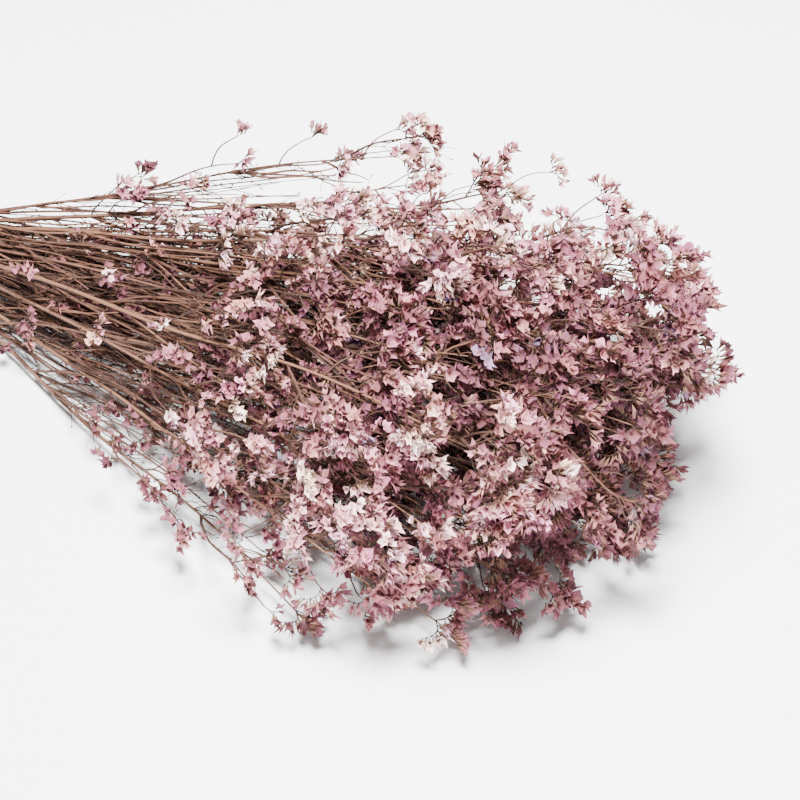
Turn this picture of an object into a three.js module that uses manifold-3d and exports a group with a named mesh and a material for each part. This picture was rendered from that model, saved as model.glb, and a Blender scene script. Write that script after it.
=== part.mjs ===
// A loose bunch of dried sea lavender, laid down on a table.
// Millimetres, +Z up, +X from the cut ends towards the flowers.
// A stem, its twigs and its papery calyces grew as one piece, so each spray is one solid.
// The sprays lie side by side where the stems are gathered, and fan out from there.

import * as THREE from 'three';
import Module from 'manifold-3d';

const wasm = await Module();
wasm.setup();

const degrees = Math.PI / 180;
const dustyMauve = new THREE.Color(0x9a6e7b);
const palePink = new THREE.Color(0xc6a4a8);

const bunch = {
  spraysInLayer: [7, 6, 5, 4, 3], // from the table up
  twigsInLayer: [6, 7, 7, 6, 5], // on each spray
  layerRise: [3.2, 8.5, 14, 19.2, 22.6].map((angle) => angle * degrees), // how steeply each layer climbs
  layerReach: [0.92, 0.95, 0.95, 0.92, 0.75], // share of the full reach
  layerTurn: [0, 0, 0.1, 0.3, 2.4], // side steps by which a whole layer is turned towards +Y
  sideStep: 6.4 * degrees, // turn between neighbouring sprays of a layer
  reach: 555, // from the gathered stems to the furthest tip
  sideLoss: 0.4, // share of the reach that the outermost sprays lack
  farGain: 0.03, // share of the reach that the +Y side has more, and the -Y side less
  arch: 0.3, // share of the climb that is lost towards the tips
  bend: 45, // half the length over which the stems turn outwards
  stemGap: 0.35, // between stems that lie side by side
  cutEnds: 92, // from the gathering back to the longest cut end
  cutRagged: 16, // spread of the cut ends
  splay: 0.5, // how much the cut ends open out again
  middleRise: 10 * degrees, // how steeply the middle of the bunch climbs
  halfOpening: 0.27, // distance from that middle to the edge, as a share of the distance from the gathering
};

const stem = {
  radius: 1.6,
  tipRadius: 1,
  sides: 5,
  topPoint: Math.PI / 2, // one edge runs along the top, so a flat side faces the table
  sway: 5,
  sidewaysWave: 4.4, // radians over the stem's length
  upwardWave: 5.1,
};

const twig = {
  root: 1.1, // half the length of stem that a twig grows from
  radius: 1,
  firstAt: 0.4, // share of the stem where the lowest twig leaves
  lastAt: 0.92,
  shortest: 34,
  longest: 92,
  lowLength: 1.2, // share of that length for the lowest twigs
  lengthLoss: 0.5, // and how much of it is lost towards the tip
  leastSpread: 0.32, // how far a twig's end stands off its stem, as a share of its length
  mostSpread: 0.95,
  furthest: 48, // and in millimetres
  edgeLoss: 0.75, // share of it that a twig lacks that points straight out of the bunch at its edge
  lowFullness: 0.3, // share of that distance and of the head's size at the foot of the stem
  offFace: 0.5, // radians to either side of the face it grows from
  leastLean: 0.3, // radians that its head leans outwards
  mostLean: 0.9,
  tries: 400,
};

const calyx = {
  length: 17,
  mouthRadius: 11, // to the five points
  lobes: 5,
  notch: 0.64, // share of the mouth radius between two points
  notchDrop: 2.6, // how far the notches lie behind the points
  throat: 0.5, // share of the length where the mouth's floor lies
  lean: 49 * degrees, // from the twig's own direction
  hub: 1.15, // the three calyces of a head stand on the faces of a small hub
  smallest: 0.9, // share of these sizes
  largest: 1.1,
};

const clearance = 0.5; // between two shapes that don't grow from each other
const pressed = 2.5; // how deep a calyx may be pressed flat against the table

// Repeatable draws: the same seed gives the same numbers.
function drawsFrom(seed) {
  let state = Math.imul(seed + 1, 2654435761) >>> 0;
  return (low, high) => {
    state = (Math.imul(state, 1664525) + 1013904223) >>> 0;
    return low + (high - low) * (state / 4294967296);
  };
}

// 0 behind the gathering and x beyond it, with a smooth bend between.
function beyondNeck(x) {
  if (x <= -bunch.bend) return 0;
  if (x >= bunch.bend) return x;
  return (x + bunch.bend) ** 2 / (4 * bunch.bend);
}

// Where a spray's stem is at x. Stems keep their places side by side all along, so none crosses another.
function stemPoint(spray, x) {
  const out = beyondNeck(x);
  const opened = x < 0 ? 1 + bunch.splay * (x / bunch.cutEnds) ** 2 : 1;
  const beyond = Math.max(0, x);
  const along = beyond / spray.endX;
  const climb = Math.tan(spray.rise) * out * (1 - (bunch.arch * beyond) / bunch.reach);
  const swayY = spray.swayY * along * Math.sin(stem.sidewaysWave * along + spray.phase);
  const swayZ = spray.swayZ * along * Math.sin(stem.upwardWave * along + 1.7 * spray.phase);
  const y = spray.neckY * opened + Math.tan(spray.side) * out + swayY;
  return new THREE.Vector3(x, y, spray.neckZ + climb + swayZ);
}

function makeSprays() {
  const flatHeight = stem.radius * Math.cos(Math.PI / stem.sides);
  const pitch = 2 * stem.radius + bunch.stemGap;
  const sprays = [];
  bunch.spraysInLayer.forEach((count, layer) => {
    for (let i = 0; i < count; i++) {
      const column = i - (count - 1) / 2;
      const draw = drawsFrom(sprays.length);
      const turned = column + bunch.layerTurn[layer];
      const side = turned * bunch.sideStep + draw(-0.9, 0.9) * degrees;
      const rise = bunch.layerRise[layer] + draw(-0.7, 0.7) * degrees;
      const sideShare = 1 - bunch.sideLoss * (turned / 4) ** 2 + (bunch.farGain * turned) / 4;
      const length = bunch.reach * bunch.layerReach[layer] * sideShare * draw(0.92, 1);
      const spray = {
        name: 'spray_' + String(sprays.length + 1).padStart(2, '0'),
        draw,
        side,
        rise,
        neckY: column * pitch,
        neckZ: flatHeight + layer * pitch * Math.sin(60 * degrees),
        endX: length * Math.cos(side),
        cutX: draw(0, bunch.cutRagged) - bunch.cutEnds,
        swayY: draw(-1, 1) * stem.sway,
        swayZ: layer === 0 ? 0 : draw(-1, 1) * stem.sway,
        phase: draw(0, 2 * Math.PI),
      };
      const twigs = bunch.twigsInLayer[layer];
      spray.twigsAt = Array.from({ length: twigs }, (_, order) => {
        const share = (order + draw(0, 0.8)) / twigs;
        return (twig.firstAt + (twig.lastAt - twig.firstAt) * share) * spray.endX;
      });
      sprays.push(spray);
    }
  });
  return sprays;
}

// The places along a stem where its outline has a ring of points.
function stemStations(spray) {
  const atTwigs = spray.twigsAt.flatMap((x) => [x - twig.root, x + twig.root]);
  return [spray.cutX, -bunch.bend, 0, bunch.bend, ...atTwigs, spray.endX - calyx.hub];
}

function stemDirection(spray, x) {
  return stemPoint(spray, x + 1).sub(stemPoint(spray, x - 1)).normalize();
}

function stemRadius(spray, x) {
  return stem.radius + (stem.tipRadius - stem.radius) * Math.max(0, x / spray.endX);
}

// Two directions square to t, the second as upright as it can be.
function crossAxes(t) {
  const up = Math.abs(t.z) > 0.94 ? new THREE.Vector3(-1, 0, 0) : new THREE.Vector3(0, 0, 1);
  const across = new THREE.Vector3().crossVectors(up, t).normalize();
  return [across, new THREE.Vector3().crossVectors(t, across)];
}

// The direction at an angle round t.
function around(t, angle) {
  const [a, b] = crossAxes(t);
  return a.multiplyScalar(Math.cos(angle)).addScaledVector(b, Math.sin(angle));
}

function ring(centre, t, radius, sides, turn) {
  const angles = Array.from({ length: sides }, (_, i) => turn + (2 * Math.PI * i) / sides);
  return angles.map((angle) => centre.clone().addScaledVector(around(t, angle), radius));
}

function middleOf(points) {
  return points.reduce((sum, p) => sum.add(p), new THREE.Vector3()).divideScalar(points.length);
}

// The direction that leans from one direction towards another.
function leaned(direction, towards, angle) {
  const along = direction.clone().multiplyScalar(Math.cos(angle));
  return along.addScaledVector(towards, Math.sin(angle)).normalize();
}

// Three calyces stand on the three faces of a small hub, at the end of a stem or twig.
function makeHead(end, direction, size, turn) {
  const base = ring(end, direction, calyx.hub, 3, turn);
  const apex = end.clone().addScaledVector(direction, calyx.hub);
  const calyces = base.map((corner, i) => {
    const next = base[(i + 1) % 3];
    const outward = middleOf([corner, next]).sub(end).normalize();
    return {
      root: middleOf([corner, next, apex]),
      direction: leaned(direction, outward, calyx.lean),
      size,
    };
  });
  return { base, apex, calyces, turn };
}

function drawSize(spray) {
  return spray.draw(calyx.smallest, calyx.largest);
}

// The share of its spread that a twig keeps: those that point out of the bunch at its edge are short.
function edgeShare(spray, x, outward) {
  const middle = new THREE.Vector3(x, 0, Math.tan(bunch.middleRise) * x);
  const away = stemPoint(spray, x).sub(middle);
  const edge = Math.min(1, away.length() / (bunch.halfOpening * x));
  return 1 - twig.edgeLoss * edge * Math.max(0, outward.dot(away.normalize()));
}

// A twig leaves one face of the stem, runs along with it and ends in a head.
function drawTwig(spray, order) {
  const { draw } = spray;
  const x = spray.twigsAt[order];
  const t = stemDirection(spray, x);
  const face = Math.floor(draw(0, stem.sides));
  const angle = stem.topPoint + (2 * Math.PI * (face + 0.5)) / stem.sides;
  const faceDistance = stemRadius(spray, x) * Math.cos(Math.PI / stem.sides);
  const root = stemPoint(spray, x).addScaledVector(around(t, angle), faceDistance);
  const outward = around(t, angle + draw(-twig.offFace, twig.offFace));
  const fullness = Math.min(1, twig.lowFullness + x / bunch.reach);
  const length = draw(twig.shortest, twig.longest) * (twig.lowLength - (twig.lengthLoss * x) / spray.endX);
  const spread = Math.min(twig.furthest * fullness, length * draw(twig.leastSpread, twig.mostSpread));
  const offset = spread * edgeShare(spray, x, outward);
  const line = [0, 0.5, 1].map((u) => root.clone()
    .addScaledVector(t, length * u)
    .addScaledVector(outward, offset * (2 * u - u * u)));
  const direction = leaned(t, outward, draw(twig.leastLean, twig.mostLean));
  const head = makeHead(line[2], direction, drawSize(spray) * fullness, draw(0, 2 * Math.PI));
  return { face, line, head };
}

// The least distance between the segments a-b and c-d. A ball is a segment with both ends the same.
function segmentDistance(a, b, c, d) {
  const clamp = (value) => Math.min(1, Math.max(0, value));
  const ab = b.clone().sub(a);
  const cd = d.clone().sub(c);
  const ca = a.clone().sub(c);
  const abab = ab.dot(ab);
  const cdcd = cd.dot(cd);
  const abcd = ab.dot(cd);
  const square = abab * cdcd - abcd * abcd;
  const tiny = 1e-9;
  let s = square > tiny ? clamp((abcd * cd.dot(ca) - ab.dot(ca) * cdcd) / square) : 0;
  const t = cdcd > tiny ? clamp((abcd * s + cd.dot(ca)) / cdcd) : 0;
  if (abab > tiny) s = clamp((abcd * t - ab.dot(ca)) / abab);
  return ca.addScaledVector(ab, s).addScaledVector(cd, -t).length();
}

function rods(line, radius) {
  return line.slice(1).map((to, i) => ({ from: line[i], to, radius }));
}

// The balls that hold the calyces' mouths, with their middles a little behind the points.
function balls(calyces) {
  const behind = 0.2 * calyx.length;
  return calyces.map(({ root, direction, size }) => {
    const centre = root.clone().addScaledVector(direction, (calyx.length - behind) * size);
    return { from: centre, to: centre, radius: Math.hypot(calyx.mouthRadius, behind) * size };
  });
}

function isAboveTable({ from, to, radius }) {
  return Math.min(from.z, to.z) > radius - pressed;
}

function isClear(mine, others) {
  return others.every((other) => (
    segmentDistance(mine.from, mine.to, other.from, other.to) > mine.radius + other.radius + clearance));
}

// Twigs are tried in turn, the ones nearest the tips first, and kept where they touch nothing.
function growTwigs(sprays) {
  const taken = [];
  const claim = (shapes, spray, isStem) => {
    taken.push(...shapes.map((shape) => ({ ...shape, spray, isStem })));
  };
  for (const spray of sprays) {
    const line = stemStations(spray).map((x) => stemPoint(spray, x));
    const direction = stemDirection(spray, spray.endX);
    spray.twigs = [];
    spray.tip = makeHead(stemPoint(spray, spray.endX), direction, drawSize(spray), stem.topPoint);
    claim(rods(line, stem.radius), spray, true);
    claim(balls(spray.tip.calyces), spray, false);
  }
  for (let order = Math.max(...bunch.twigsInLayer) - 1; order >= 0; order--) {
    for (const spray of sprays.filter((one) => order < one.twigsAt.length)) {
      for (let i = 0; i < twig.tries; i++) {
        const next = drawTwig(spray, order);
        const twigRods = rods(next.line, twig.radius);
        const headBalls = balls(next.head.calyces);
        const offOwnStem = taken.filter((other) => other.spray !== spray || !other.isStem);
        const fits = [...twigRods, ...headBalls].every(isAboveTable)
          && twigRods.every((rod) => isClear(rod, offOwnStem))
          && headBalls.every((ball) => isClear(ball, taken));
        if (!fits) continue;
        spray.twigs.push({ order, ...next });
        claim([...twigRods, ...headBalls], spray, false);
        break;
      }
    }
  }
}

// A closed surface that grows: a face is taken off, and a longer shape is joined to its edge.
class Surface {
  points = [];
  faces = new Set();

  put(points) {
    return points.map((p) => this.points.push(p) - 1);
  }

  // Faces between two rings of corners, given as they run anticlockwise, seen from the upper one.
  // Each new edge joins the two corners that lie most nearly on the same side.
  join(lower, upper) {
    const axis = this.middle(upper).sub(this.middle(lower)).normalize();
    const from = this.sides(lower, axis);
    const onto = this.sides(upper, axis);
    const near = onto.map((side) => side.dot(from[0]));
    const first = near.indexOf(Math.max(...near));
    const a = (i) => i % lower.length;
    const b = (k) => (first + k) % upper.length;
    const made = [];
    if (lower.length === upper.length) {
      for (let i = 0; i < lower.length; i++) {
        made.push([lower[i], lower[a(i + 1)], upper[b(i + 1)], upper[b(i)]]);
      }
    } else {
      const steps = upper.length > 1 ? upper.length : 0;
      for (let i = 0, k = 0; i < lower.length || k < steps;) {
        const lowerIsNearer = from[a(i + 1)].dot(onto[b(k)]) > from[a(i)].dot(onto[b(k + 1)]);
        if (k === steps || (i < lower.length && lowerIsNearer)) {
          made.push([lower[a(i)], lower[a(i + 1)], upper[b(k)]]);
          i++;
        } else {
          made.push([lower[a(i)], upper[b(k + 1)], upper[b(k)]]);
          k++;
        }
      }
    }
    made.forEach((face) => this.faces.add(face));
    return made;
  }

  middle(loop) {
    return middleOf(loop.map((i) => this.points[i]));
  }

  // The directions of a ring's corners from its middle, seen along an axis.
  sides(loop, axis) {
    const middle = this.middle(loop);
    return loop.map((i) => this.points[i].clone().sub(middle).projectOnPlane(axis).normalize());
  }

  // A funnel whose mouth has a point for each lobe and a floor deep inside.
  growCalyx(loop, { root, direction, size }) {
    const at = (distance) => root.clone().addScaledVector(direction, distance);
    const length = calyx.length * size;
    const radius = calyx.mouthRadius * size;
    const half = Math.PI / calyx.lobes;
    const points = ring(at(length), direction, radius, calyx.lobes, 0);
    const notchRadius = radius * calyx.notch;
    const notches = ring(at(length - calyx.notchDrop), direction, notchRadius, calyx.lobes, half);
    const rim = this.put(points.flatMap((point, i) => [point, notches[i]]));
    this.join(loop, rim);
    this.join(rim, this.put([at(length * calyx.throat)]));
  }

  growHead(loop, { base, apex, calyces }) {
    const hub = this.put(base);
    const [top] = this.put([apex]);
    this.join(loop, hub);
    calyces.forEach((one, i) => this.growCalyx([hub[i], hub[(i + 1) % 3], top], one));
  }

  growTwig(face, { line, head }) {
    this.faces.delete(face);
    const t = line[2].clone().sub(line[0]).normalize();
    const knee = this.put(ring(line[1], t, twig.radius, 3, head.turn));
    this.join(face, knee);
    this.growHead(knee, head);
  }

  toSolid() {
    const triangles = [...this.faces].flatMap(([first, ...rest]) => (
      rest.slice(1).flatMap((corner, i) => [first, rest[i], corner])));
    return new wasm.Manifold(new wasm.Mesh({
      numProp: 3,
      vertProperties: new Float32Array(this.points.flatMap((p) => p.toArray())),
      triVerts: new Uint32Array(triangles),
    }));
  }
}

function spraySolid(spray) {
  const surface = new Surface();
  const rings = stemStations(spray).map((x, i) => {
    const t = i === 0 ? new THREE.Vector3(1, 0, 0) : stemDirection(spray, x);
    return surface.put(ring(stemPoint(spray, x), t, stemRadius(spray, x), stem.sides, stem.topPoint));
  });
  const bands = rings.slice(1).map((upper, i) => surface.join(rings[i], upper));
  const bandsBeforeTwigs = 4;
  surface.faces.add([...rings[0]].reverse());
  surface.growHead(rings.at(-1), spray.tip);
  spray.twigs.forEach((one) => surface.growTwig(bands[bandsBeforeTwigs + 2 * one.order][one.face], one));
  return surface.toSolid();
}

// What lies against the table is pressed flat.
function pressFlat(solid) {
  const parts = solid.trimByPlane([0, 0, 1], 0).decompose();
  return parts.reduce((best, part) => (part.volume() > best.volume() ? part : best));
}

function sprayMesh(spray, index) {
  const made = pressFlat(spraySolid(spray)).getMesh();
  const geometry = new THREE.BufferGeometry();
  geometry.setAttribute('position', new THREE.BufferAttribute(made.vertProperties, 3));
  geometry.setIndex(new THREE.BufferAttribute(made.triVerts, 1));
  geometry.computeVertexNormals();
  const faded = (index * 0.618) % 1;
  const mesh = new THREE.Mesh(geometry, new THREE.MeshStandardMaterial({
    color: dustyMauve.clone().lerp(palePink, faded),
    roughness: 0.9,
    metalness: 0,
    flatShading: true,
  }));
  mesh.name = spray.name;
  return mesh;
}

const sprays = makeSprays();
growTwigs(sprays);

const group = new THREE.Group();
sprays.forEach((spray, index) => group.add(sprayMesh(spray, index)));

// The origin lies on the table, under the middle of the bunch.
const middle = new THREE.Box3().setFromObject(group).getCenter(new THREE.Vector3());
group.position.set(-middle.x, -middle.y, 0);

export default group;
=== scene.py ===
import math

import bpy
import numpy as np
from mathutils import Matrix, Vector


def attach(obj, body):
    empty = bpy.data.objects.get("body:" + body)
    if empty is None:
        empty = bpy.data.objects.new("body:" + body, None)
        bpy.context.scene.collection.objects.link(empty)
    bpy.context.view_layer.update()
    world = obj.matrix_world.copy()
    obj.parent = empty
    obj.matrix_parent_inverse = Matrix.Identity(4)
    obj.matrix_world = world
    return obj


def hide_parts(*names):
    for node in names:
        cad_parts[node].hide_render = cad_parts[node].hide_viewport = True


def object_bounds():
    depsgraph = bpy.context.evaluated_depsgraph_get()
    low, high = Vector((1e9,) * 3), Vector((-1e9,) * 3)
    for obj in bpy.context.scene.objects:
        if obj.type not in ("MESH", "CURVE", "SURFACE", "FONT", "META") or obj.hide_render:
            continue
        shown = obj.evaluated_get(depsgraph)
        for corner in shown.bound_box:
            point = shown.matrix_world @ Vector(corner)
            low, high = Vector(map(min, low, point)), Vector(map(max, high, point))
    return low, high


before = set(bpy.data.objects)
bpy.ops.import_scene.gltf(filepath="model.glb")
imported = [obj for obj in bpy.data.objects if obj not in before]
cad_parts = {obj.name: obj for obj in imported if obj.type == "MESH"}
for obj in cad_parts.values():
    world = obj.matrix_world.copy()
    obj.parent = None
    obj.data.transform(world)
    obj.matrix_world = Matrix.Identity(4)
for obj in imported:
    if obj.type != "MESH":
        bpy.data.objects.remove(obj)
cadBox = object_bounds()
mm = 0.001  # everything below is worked out in millimetres and turned into metres in the meshes
up = np.array([0.0, 0.0, 1.0])
wholeTurn = 2 * math.pi

# the bunch, +X from the cut ends towards the flowers, grown by the same rule as the solids

counter = dict(seedStep=2654435761, factor=1664525, step=1013904223, size=2**32)
bunch = dict(
    spraysInLayer=[7, 6, 5, 4, 3],  # from the table up
    twigsInLayer=[6, 7, 7, 6, 5],
    layerRise=[3.2, 8.5, 14, 19.2, 22.6],  # degrees
    riseJitter=0.7, layerReach=[0.92, 0.95, 0.95, 0.92, 0.75], leastReach=0.92,
    layerTurn=[0, 0, 0.1, 0.3, 2.4],  # side steps
    sideStep=6.4,  # degrees
    sideJitter=0.9, sideSteps=4, sideLoss=0.4, farGain=0.03, reach=555, arch=0.3, bend=45, stemGap=0.35,
    layerPitch=math.sin(math.radians(60)),  # of round stems that lie in each other's gaps
    cutEnds=92, cutRagged=16, splay=0.5, middleRise=math.radians(10), halfOpening=0.27, leastHalf=8,
    clearance=0.5, pressed=2.5,
)
solidStem = dict(
    radius=1.6, tipRadius=1, sides=5, topPoint=math.pi / 2,
    sway=5, sidewaysWave=4.4, upwardWave=5.1, upwardPhase=1.7,
)
solidTwig = dict(
    root=1.1, radius=1, firstAt=0.4, lastAt=0.92, uneven=0.8, shortest=34, longest=92, lowLength=1.2,
    lengthLoss=0.5, leastSpread=0.32, mostSpread=0.95, furthest=48, edgeLoss=0.75, lowFullness=0.3,
    offFace=0.5, leastLean=0.3, mostLean=0.9, tries=400,
)
solidHead = dict(
    length=17, mouthRadius=11, lean=math.radians(49), hub=1.15,
    smallest=0.9, largest=1.1, behind=0.2, steep=0.94,
)


def drawsFrom(seed):  # repeatable draws from a 32-bit counter
    state = (seed + 1) * counter["seedStep"] % counter["size"]

    def draw(low, high):
        nonlocal state
        state = (state * counter["factor"] + counter["step"]) % counter["size"]
        return low + (high - low) * (state / counter["size"])

    return draw


def beyondNeck(x):  # 0 behind the gathering, x beyond it, a parabola between
    bend = bunch["bend"]
    return np.where(x <= -bend, 0, np.where(x >= bend, x, (x + bend) ** 2 / (4 * bend)))


def stemPoint(spray, x):  # straight lines that fan out from the gathering, with a slow wave of growing width
    x = np.asarray(x, float)
    out = beyondNeck(x)
    opened = np.where(x < 0, 1 + bunch["splay"] * (x / bunch["cutEnds"]) ** 2, 1)
    beyond = np.maximum(0, x)
    along = beyond / spray["endX"]
    climb = math.tan(spray["rise"]) * out * (1 - bunch["arch"] * beyond / bunch["reach"])
    upwardPhase = solidStem["upwardPhase"] * spray["phase"]
    swayY = spray["swayY"] * along * np.sin(solidStem["sidewaysWave"] * along + spray["phase"])
    swayZ = spray["swayZ"] * along * np.sin(solidStem["upwardWave"] * along + upwardPhase)
    y = spray["neckY"] * opened + math.tan(spray["side"]) * out + swayY
    return np.stack([x, y, spray["neckZ"] + climb + swayZ], axis=-1)


def unit(v):
    return v / np.maximum(np.linalg.norm(v, axis=-1, keepdims=True), 1e-12)


def makeSprays():
    flatHeight = solidStem["radius"] * math.cos(math.pi / solidStem["sides"])
    pitch = 2 * solidStem["radius"] + bunch["stemGap"]
    low, high = solidTwig["firstAt"], solidTwig["lastAt"]
    sprays = []
    for layer, count in enumerate(bunch["spraysInLayer"]):
        for i in range(count):
            column = i - (count - 1) / 2
            draw = drawsFrom(len(sprays))
            turned = column + bunch["layerTurn"][layer]
            outer = turned / bunch["sideSteps"]
            side = turned * bunch["sideStep"] + draw(-bunch["sideJitter"], bunch["sideJitter"])
            rise = bunch["layerRise"][layer] + draw(-bunch["riseJitter"], bunch["riseJitter"])
            sideShare = 1 - bunch["sideLoss"] * outer**2 + bunch["farGain"] * outer
            length = bunch["reach"] * bunch["layerReach"][layer] * sideShare * draw(bunch["leastReach"], 1)
            spray = dict(
                name=f"spray_{len(sprays) + 1:02d}",
                index=len(sprays),
                draw=draw,
                side=math.radians(side),
                rise=math.radians(rise),
                neckY=column * pitch,
                neckZ=flatHeight + layer * pitch * bunch["layerPitch"],
                endX=length * math.cos(math.radians(side)),
                cutX=draw(0, bunch["cutRagged"]) - bunch["cutEnds"],
                swayY=draw(-1, 1) * solidStem["sway"],
                swayZ=0 if layer == 0 else draw(-1, 1) * solidStem["sway"],
                phase=draw(0, wholeTurn),
            )
            twigs = bunch["twigsInLayer"][layer]
            shares = [(order + draw(0, solidTwig["uneven"])) / twigs for order in range(twigs)]
            spray["twigsAt"] = [(low + (high - low) * share) * spray["endX"] for share in shares]
            sprays.append(spray)
    return sprays


def stemStations(spray):
    atTwigs = [x + side * solidTwig["root"] for x in spray["twigsAt"] for side in (-1, 1)]
    bend = bunch["bend"]
    return np.array([spray["cutX"], -bend, 0, bend, *atTwigs, spray["endX"] - solidHead["hub"]])


def stemDirection(spray, x):
    return unit(stemPoint(spray, x + 1) - stemPoint(spray, x - 1))


def turned(a, b, angle):  # a·cos + b·sin
    return a * np.cos(angle) + b * np.sin(angle)


def around(t, angle):  # the direction at an angle round t, counted from level
    a = unit(np.cross(up, t))
    return turned(a, np.cross(t, a), angle)


def leaned(direction, towards, angle):
    return unit(turned(direction, towards, angle))


def makeHead(end, direction, size, turn):
    steep = abs(direction[2]) > solidHead["steep"]
    a = unit(np.cross(np.array([-1.0, 0, 0]) if steep else up, direction))
    b = np.cross(direction, a)
    hub = solidHead["hub"]
    corners = [end + hub * turned(a, b, turn + k) for k in np.arange(3) * wholeTurn / 3]
    apex = end + direction * hub
    lobes = []
    for i, corner in enumerate(corners):
        following = corners[(i + 1) % 3]
        outward = unit((corner + following) / 2 - end)
        leaning = leaned(direction, outward, solidHead["lean"])
        lobes.append(dict(root=(corner + following + apex) / 3, direction=leaning))
    return dict(direction=direction, size=size, lobes=lobes)


def drawTwig(spray, order):
    draw = spray["draw"]
    x = spray["twigsAt"][order]
    t = stemDirection(spray, x)
    face = math.floor(draw(0, solidStem["sides"]))
    angle = solidStem["topPoint"] + wholeTurn * (face + 0.5) / solidStem["sides"]
    radius = solidStem["radius"] + (solidStem["tipRadius"] - solidStem["radius"]) * max(0, x / spray["endX"])
    root = stemPoint(spray, x) + around(t, angle) * radius * math.cos(math.pi / solidStem["sides"])
    outward = around(t, angle + draw(-solidTwig["offFace"], solidTwig["offFace"]))
    fullness = min(1, solidTwig["lowFullness"] + x / bunch["reach"])
    length = draw(solidTwig["shortest"], solidTwig["longest"])
    length *= solidTwig["lowLength"] - solidTwig["lengthLoss"] * x / spray["endX"]
    spread = draw(solidTwig["leastSpread"], solidTwig["mostSpread"])
    offset = min(solidTwig["furthest"] * fullness, length * spread)
    away = stemPoint(spray, x) - [x, 0, math.tan(bunch["middleRise"]) * x]  # from the middle of the bunch
    edge = min(1, np.linalg.norm(away) / (bunch["halfOpening"] * x))
    offset *= 1 - solidTwig["edgeLoss"] * edge * max(0, outward @ unit(away))
    direction = leaned(t, outward, draw(solidTwig["leastLean"], solidTwig["mostLean"]))
    size = draw(solidHead["smallest"], solidHead["largest"]) * fullness
    twig = dict(x=x, root=root, t=t, outward=outward, length=length, offset=offset)
    twig["head"] = makeHead(twigPoint(twig, 1.0), direction, size, draw(0, wholeTurn))
    return twig


def twigPoint(twig, u):  # leaves the stem outwards and bends to run along with it
    u = np.asarray(u, float)[..., None]
    return twig["root"] + twig["t"] * twig["length"] * u + twig["outward"] * twig["offset"] * (2 * u - u * u)


def clearOf(mine, taken, allowed):  # whether a round-ended rod keeps its distance from all the allowed others
    a, b, radius = mine
    c, d = taken["from"][allowed], taken["to"][allowed]
    ab, cd, ca = b - a, d - c, a - c
    abab, cdcd = ab @ ab, (cd * cd).sum(1)
    abcd, abca, cdca = cd @ ab, ca @ ab, (cd * ca).sum(1)
    square = abab * cdcd - abcd * abcd
    tiny = 1e-9

    def share(top, bottom):  # 0 to 1, and 0 for a rod of no length
        return np.where(bottom > tiny, np.clip(top / np.where(bottom > tiny, bottom, 1), 0, 1), 0)

    s = share(abcd * cdca - abca * cdcd, square)
    t = share(abcd * s + cdca, cdcd)
    if abab > tiny:
        s = np.clip((abcd * t - abca) / abab, 0, 1)
    apart = np.linalg.norm(ca + ab * s[:, None] - cd * t[:, None], axis=1)
    return bool((apart > radius + taken["radius"][allowed] + bunch["clearance"]).all())


def growTwigs(sprays):
    rows = {"from": [], "to": [], "radius": [], "spray": [], "isStem": []}
    taken = {}

    def claim(shapes, spray, isStem):
        for a, b, radius in shapes:
            for key, value in zip(rows, (a, b, radius, spray["index"], isStem)):
                rows[key].append(value)
        taken.update({key: np.array(values) for key, values in rows.items()})

    def balls(head):
        behind = solidHead["behind"] * solidHead["length"]
        radius = math.hypot(solidHead["mouthRadius"], behind) * head["size"]
        shapes = []
        for lobe in head["lobes"]:
            centre = lobe["root"] + lobe["direction"] * (solidHead["length"] - behind) * head["size"]
            shapes.append((centre, centre, radius))
        return shapes

    def fits(spray, rods, heads):
        if any(min(a[2], b[2]) <= radius - bunch["pressed"] for a, b, radius in rods + heads):
            return False
        offOwnStem = (taken["spray"] != spray["index"]) | ~taken["isStem"]
        everything = np.ones(len(offOwnStem), bool)
        if not all(clearOf(rod, taken, offOwnStem) for rod in rods):
            return False
        return all(clearOf(ball, taken, everything) for ball in heads)

    for spray in sprays:
        line = stemPoint(spray, stemStations(spray))
        size = spray["draw"](solidHead["smallest"], solidHead["largest"])
        end, heading = stemPoint(spray, spray["endX"]), stemDirection(spray, spray["endX"])
        spray["tip"] = makeHead(end, heading, size, solidStem["topPoint"])
        spray["twigs"] = []
        claim([(line[i], line[i + 1], solidStem["radius"]) for i in range(len(line) - 1)], spray, True)
        claim(balls(spray["tip"]), spray, False)
    for order in reversed(range(max(bunch["twigsInLayer"]))):
        for spray in sprays:
            if order >= len(spray["twigsAt"]):
                continue
            for attempt in range(solidTwig["tries"]):
                twig = drawTwig(spray, order)
                line = twigPoint(twig, np.array([0, 0.5, 1]))
                rods = [(line[i], line[i + 1], solidTwig["radius"]) for i in range(2)]
                heads = balls(twig["head"])
                if fits(spray, rods, heads):
                    spray["twigs"].append(twig)
                    claim(rods + heads, spray, False)
                    break


sprays = makeSprays()
growTwigs(sprays)
headCount = sum(len(spray["twigs"]) + 1 for spray in sprays)
print("grown:", len(sprays), "sprays with", headCount, "heads")


def middleOfBunch():  # the row frame's origin, from the cut end of each solid stem
    shifts = []
    for spray in sprays:
        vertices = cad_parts[spray["name"]].data.vertices
        points = np.empty(len(vertices) * 3)
        vertices.foreach_get("co", points)
        points = points.reshape(-1, 3) / mm
        cutEnd = points[points[:, 0] < points[:, 0].min() + 0.01]
        corners = np.unique(np.round(cutEnd, 3), axis=0)
        shifts.append(corners.mean(0) - stemPoint(spray, spray["cutX"]))
    shifts = np.array(shifts)
    print("place of the bunch:", shifts.mean(0).round(2), "spread", np.ptp(shifts, axis=0).round(3))
    return shifts.mean(0) * [1, 1, 0]


place = middleOfBunch()

# shared mesh making, all in millimetres

tube = dict(buttBulge=0.2, rootShare=0.1)  # the place along it is marked from rootShare to 1
table = dict(gap=0.05, barkKnee=0.6, flowerKnee=2.5)  # under the knee it is pressed flatter, down to the gap


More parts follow.
